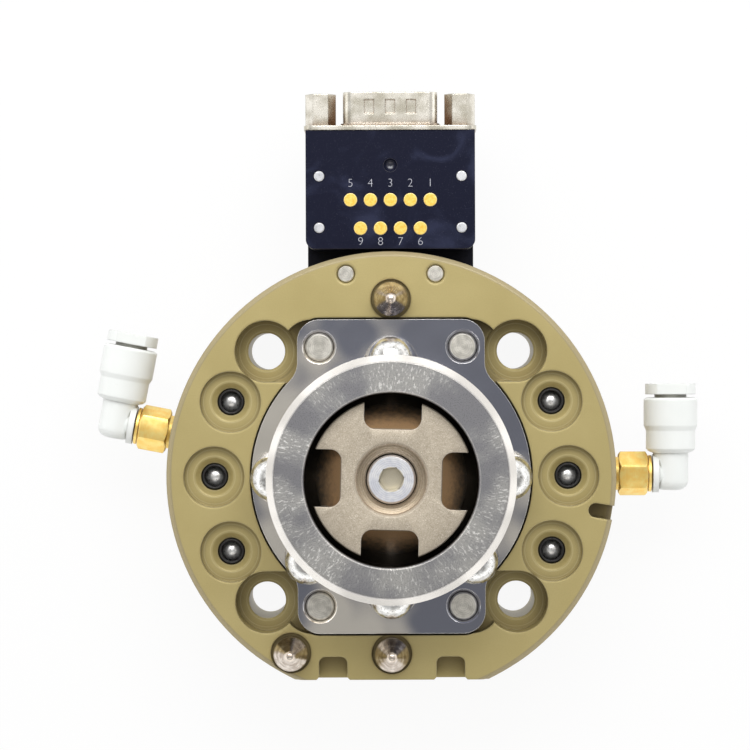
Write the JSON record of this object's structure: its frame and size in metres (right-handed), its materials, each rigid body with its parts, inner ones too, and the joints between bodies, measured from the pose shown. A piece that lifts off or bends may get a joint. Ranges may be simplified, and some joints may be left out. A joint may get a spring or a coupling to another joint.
{
  "type": "robotic tool changer",
  "caption": "Robot-side plate of a pneumatic ball-lock tool changer, with self-closing air ports, locating pins, push-in elbows and an electrical contact block.",
  "frame": {"origin": "centre of the robot's mounting circle, on the robot face", "axes": "+Z out of the tool face towards the tool; +Y towards the electrical connector; +X towards the right-hand fitting"},
  "size_m": [0.1084, 0.1047, 0.043],
  "materials": {
    "olive_anodised": "hard anodised, fine turned marks",
    "ground_steel": "ground and polished",
    "bearing_steel": "polished ball",
    "cam_steel": "fine blasted steel",
    "zinc_screw": "zinc plated",
    "steel_screw": "plain steel",
    "turned_alloy": "turned",
    "pin_steel": "ground, hardened",
    "black_rubber": "smooth nitrile",
    "spring_steel": "drawn wire",
    "black_anodised": "black anodised",
    "black_plastic": "moulded, fine sparkle",
    "gold_plate": "gold plated",
    "rivet_metal": "bare",
    "nickel_shell": "satin nickel plated",
    "brass": "turned brass",
    "white_plastic": "moulded"
  },
  "bodies": {
    "base": {"body": "olive_anodised", "lock_cage": "ground_steel", "cage_screws": "steel_screw", "rod_seal": "black_rubber", "lock_spring": "spring_steel", "cylinder_cover": "turned_alloy", "cover_seal": "black_rubber", "retaining_ring": "spring_steel", "locating_pin_top": "pin_steel", "locating_pin_bottom": "pin_steel", "locating_pin_offset": "pin_steel", "port_seals": "black_rubber", "port_spring_1": "spring_steel", "port_spring_2": "spring_steel", "port_spring_3": "spring_steel", "port_spring_4": "spring_steel", "port_spring_5": "spring_steel", "port_spring_6": "spring_steel", "connector_bracket": "black_anodised", "bracket_screws": "steel_screw", "contact_block": "black_plastic", "contact_pads": "gold_plate", "block_rivets": "rivet_metal", "dsub_shell": "nickel_shell", "dsub_insert": "black_plastic", "dsub_pins": "gold_plate", "jack_posts": "nickel_shell", "fitting_stem_right": "brass", "fitting_stem_left": "brass"},
    "piston": {"piston": "turned_alloy", "piston_seal": "black_rubber", "cam": "cam_steel", "cam_screw": "zinc_screw"},
    "lock_ball_1": {"lock_ball_1": "bearing_steel"},
    "lock_ball_2": {"lock_ball_2": "bearing_steel"},
    "lock_ball_3": {"lock_ball_3": "bearing_steel"},
    "lock_ball_4": {"lock_ball_4": "bearing_steel"},
    "lock_ball_5": {"lock_ball_5": "bearing_steel"},
    "lock_ball_6": {"lock_ball_6": "bearing_steel"},
    "port_ball_1": {"port_ball_1": "bearing_steel"},
    "port_ball_2": {"port_ball_2": "bearing_steel"},
    "port_ball_3": {"port_ball_3": "bearing_steel"},
    "port_ball_4": {"port_ball_4": "bearing_steel"},
    "port_ball_5": {"port_ball_5": "bearing_steel"},
    "port_ball_6": {"port_ball_6": "bearing_steel"},
    "elbow_right": {"elbow_right": "white_plastic", "tube_seal_right": "black_rubber", "collet_right": "spring_steel"},
    "release_button_right": {"release_button_right": "white_plastic"},
    "elbow_left": {"elbow_left": "white_plastic", "tube_seal_left": "black_rubber", "collet_left": "spring_steel"},
    "release_button_left": {"release_button_left": "white_plastic"}
  },
  "joints": [
    {"name": "piston_slide", "type": "slide", "parent": "base", "child": "piston", "axis": [0, 0, 1], "range_m": [-0.004, 0], "stiffness_N_per_m": 4000, "springref_m": 0.006, "deforming": ["lock_spring"]},
    {"name": "lock_ball_1_slide", "type": "slide", "parent": "base", "child": "lock_ball_1", "axis": [1, 0, 0], "range_m": [-0.00345, 0]},
    {"name": "lock_ball_2_slide", "type": "slide", "parent": "base", "child": "lock_ball_2", "axis": [0, 1, 0], "range_m": [-0.00345, 0]},
    {"name": "lock_ball_3_slide", "type": "slide", "parent": "base", "child": "lock_ball_3", "axis": [-1, 0, 0], "range_m": [-0.00345, 0]},
    {"name": "lock_ball_4_slide", "type": "slide", "parent": "base", "child": "lock_ball_4", "axis": [-0.7071, -0.7071, 0], "range_m": [-0.00345, 0]},
    {"name": "lock_ball_5_slide", "type": "slide", "parent": "base", "child": "lock_ball_5", "axis": [0, -1, 0], "range_m": [-0.00345, 0]},
    {"name": "lock_ball_6_slide", "type": "slide", "parent": "base", "child": "lock_ball_6", "axis": [0.7071, -0.7071, 0], "range_m": [-0.00345, 0]},
    {"name": "port_ball_1_slide", "type": "slide", "parent": "base", "child": "port_ball_1", "axis": [0, 0, 1], "range_m": [-0.001, 0], "stiffness_N_per_m": 100, "springref_m": 0.0015, "deforming": ["port_spring_1"]},
    {"name": "port_ball_2_slide", "type": "slide", "parent": "base", "child": "port_ball_2", "axis": [0, 0, 1], "range_m": [-0.001, 0], "stiffness_N_per_m": 100, "springref_m": 0.0015, "deforming": ["port_spring_2"]},
    {"name": "port_ball_3_slide", "type": "slide", "parent": "base", "child": "port_ball_3", "axis": [0, 0, 1], "range_m": [-0.001, 0], "stiffness_N_per_m": 100, "springref_m": 0.0015, "deforming": ["port_spring_3"]},
    {"name": "port_ball_4_slide", "type": "slide", "parent": "base", "child": "port_ball_4", "axis": [0, 0, 1], "range_m": [-0.001, 0], "stiffness_N_per_m": 100, "springref_m": 0.0015, "deforming": ["port_spring_4"]},
    {"name": "port_ball_5_slide", "type": "slide", "parent": "base", "child": "port_ball_5", "axis": [0, 0, 1], "range_m": [-0.001, 0], "stiffness_N_per_m": 100, "springref_m": 0.0015, "deforming": ["port_spring_5"]},
    {"name": "port_ball_6_slide", "type": "slide", "parent": "base", "child": "port_ball_6", "axis": [0, 0, 1], "range_m": [-0.001, 0], "stiffness_N_per_m": 100, "springref_m": 0.0015, "deforming": ["port_spring_6"]},
    {"name": "elbow_right_swivel", "type": "hinge", "parent": "base", "child": "elbow_right", "pos_m": [0.0505, 0, 0.011], "axis": [1, 0, 0], "continuous": true},
    {"name": "release_button_right_press", "type": "slide", "parent": "elbow_right", "child": "release_button_right", "axis": [0, 1, 0], "range_m": [-0.0005, 0], "stiffness_N_per_m": 300, "springref_m": 0.001},
    {"name": "elbow_left_swivel", "type": "hinge", "parent": "base", "child": "elbow_left", "pos_m": [-0.04957, 0.00964, 0.011], "axis": [-0.9816, 0.1908, 0], "continuous": true},
    {"name": "release_button_left_press", "type": "slide", "parent": "elbow_left", "child": "release_button_left", "axis": [0.1908, 0.9816, 0], "range_m": [-0.0005, 0], "stiffness_N_per_m": 300, "springref_m": 0.001}
  ],
  "couplings": [
    {"joint": "lock_ball_1_slide", "follows": "piston_slide", "ratio": 0.858},
    {"joint": "lock_ball_2_slide", "follows": "piston_slide", "ratio": 0.858},
    {"joint": "lock_ball_3_slide", "follows": "piston_slide", "ratio": 0.858},
    {"joint": "lock_ball_4_slide", "follows": "piston_slide", "ratio": 0.858},
    {"joint": "lock_ball_5_slide", "follows": "piston_slide", "ratio": 0.858},
    {"joint": "lock_ball_6_slide", "follows": "piston_slide", "ratio": 0.858}
  ]
}
